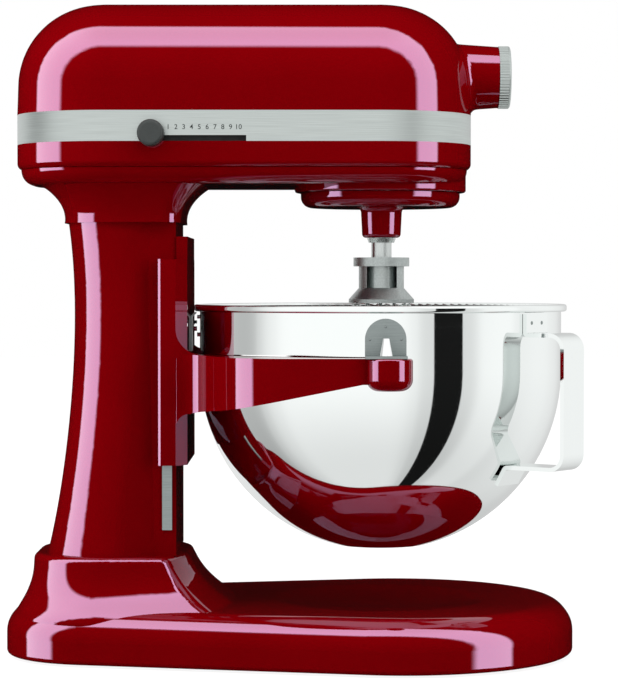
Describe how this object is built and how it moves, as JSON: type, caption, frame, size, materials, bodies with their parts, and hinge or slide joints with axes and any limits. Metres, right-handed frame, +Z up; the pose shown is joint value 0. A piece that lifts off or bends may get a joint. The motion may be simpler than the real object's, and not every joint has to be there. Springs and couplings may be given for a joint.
{
  "type": "stand mixer",
  "caption": "Bowl-lift stand mixer: lobed base, column, long motor head with trim band and speed slider, planetary wire whisk, and a polished bowl on a lever-raised yoke.",
  "frame": {"origin": "centre of the bounding box's underside, on the worktop under the rubber feet", "axes": "+X from the column towards the attachment hub, +Z up, +Y towards the bowl-lift lever's side, so the speed slider faces -Y"},
  "size_m": [0.3646, 0.284, 0.417],
  "materials": {
    "red_enamel": "high gloss enamel",
    "band_steel": "brushed lengthways",
    "bowl_steel": "mirror polished",
    "bracket_steel": "satin",
    "chrome": "polished",
    "steel": "machined",
    "cast_aluminium": "satin",
    "black_plastic": "satin",
    "rubber": "matte",
    "iron": "laminated",
    "copper": "wound",
    "bronze": "machined",
    "carbon": "matte"
  },
  "bodies": {
    "stand": {"base": "red_enamel", "bottom_plate": "black_plastic", "rubber_feet": "rubber", "base_bolts": "steel", "column": "red_enamel", "rail_strips": "bracket_steel", "gearcase": "red_enamel", "column_bolts": "steel", "cord_grommet": "rubber", "motor_housing": "red_enamel", "top_cover": "red_enamel", "trim_band": "band_steel", "slot_liner": "black_plastic", "ring_gear": "steel", "stator": "iron", "bearing_brackets": "cast_aluminium", "brushes": "carbon"},
    "speed_slider": {"speed_knob": "black_plastic", "speed_stem": "steel"},
    "planetary_carrier": {"planetary": "red_enamel", "centre_shaft": "steel", "main_gear": "steel", "vertical_bevel": "steel"},
    "beater": {"beater_shaft": "steel", "planet_pinion": "steel", "whisk_hub": "cast_aluminium", "whisk_wires": "steel"},
    "armature": {"motor_shaft": "steel", "rotor": "copper", "cooling_fan": "black_plastic", "worm": "steel"},
    "reduction_shaft": {"wheel_shaft": "steel", "worm_wheel": "bronze", "drive_pinion": "steel"},
    "hub_spindle": {"hub_drive": "steel", "horizontal_bevel": "steel"},
    "lift_lever_body": {"lift_shaft": "steel", "lift_crank": "steel", "lift_lever": "chrome", "lever_grip": "black_plastic"},
    "bowl_lift": {"carriage": "red_enamel", "bowl_pins": "chrome", "latch_spring": "bracket_steel", "bowl": "bowl_steel", "bowl_handle": "bowl_steel", "bowl_brackets": "bracket_steel", "bowl_stud": "bowl_steel"},
    "hub_cap_body": {"hub_cap": "band_steel"},
    "hub_knob_body": {"hub_knob": "black_plastic"}
  },
  "joints": [
    {"name": "planetary_spin", "type": "hinge", "parent": "stand", "child": "planetary_carrier", "pos_m": [0.0582, 0, 0.29], "axis": [0, 0, 1], "continuous": true},
    {"name": "beater_spin", "type": "hinge", "parent": "planetary_carrier", "child": "beater", "pos_m": [0.0582, -0.027, 0.29], "axis": [0, 0, 1], "continuous": true},
    {"name": "motor_spin", "type": "hinge", "parent": "stand", "child": "armature", "pos_m": [-0.08, 0, 0.364], "axis": [1, 0, 0], "continuous": true},
    {"name": "reduction_spin", "type": "hinge", "parent": "stand", "child": "reduction_shaft", "pos_m": [0.02155, 0.031, 0.34], "axis": [0, 0, 1], "continuous": true},
    {"name": "hub_spin", "type": "hinge", "parent": "stand", "child": "hub_spindle", "pos_m": [0.08, 0, 0.3717], "axis": [1, 0, 0], "continuous": true},
    {"name": "lift_lever_turn", "type": "hinge", "parent": "stand", "child": "lift_lever_body", "pos_m": [-0.1, 0, 0.178], "axis": [0, -1, 0], "range_deg": [0, 100]},
    {"name": "bowl_lift_slide", "type": "slide", "parent": "stand", "child": "bowl_lift", "axis": [0, 0, 1], "range_m": [-0.03, 0]},
    {"name": "speed_slide", "type": "slide", "parent": "stand", "child": "speed_slider", "axis": [1, 0, 0], "range_m": [0, 0.054]},
    {"name": "hub_cap_pull", "type": "slide", "parent": "stand", "child": "hub_cap_body", "axis": [1, 0, 0], "range_m": [0, 0.025]},
    {"name": "hub_knob_turn", "type": "hinge", "parent": "stand", "child": "hub_knob_body", "pos_m": [0.126, 0.022, 0.3717], "axis": [0, 1, 0], "continuous": true}
  ],
  "couplings": [
    {"joint": "beater_spin", "follows": "planetary_spin", "ratio": -3.25},
    {"joint": "motor_spin", "follows": "planetary_spin", "ratio": 28},
    {"joint": "reduction_spin", "follows": "planetary_spin", "ratio": -3},
    {"joint": "hub_spin", "follows": "planetary_spin", "ratio": 1},
    {"joint": "lift_lever_turn", "follows": "bowl_lift_slide", "rad_per_m": -58.178}
  ]
}
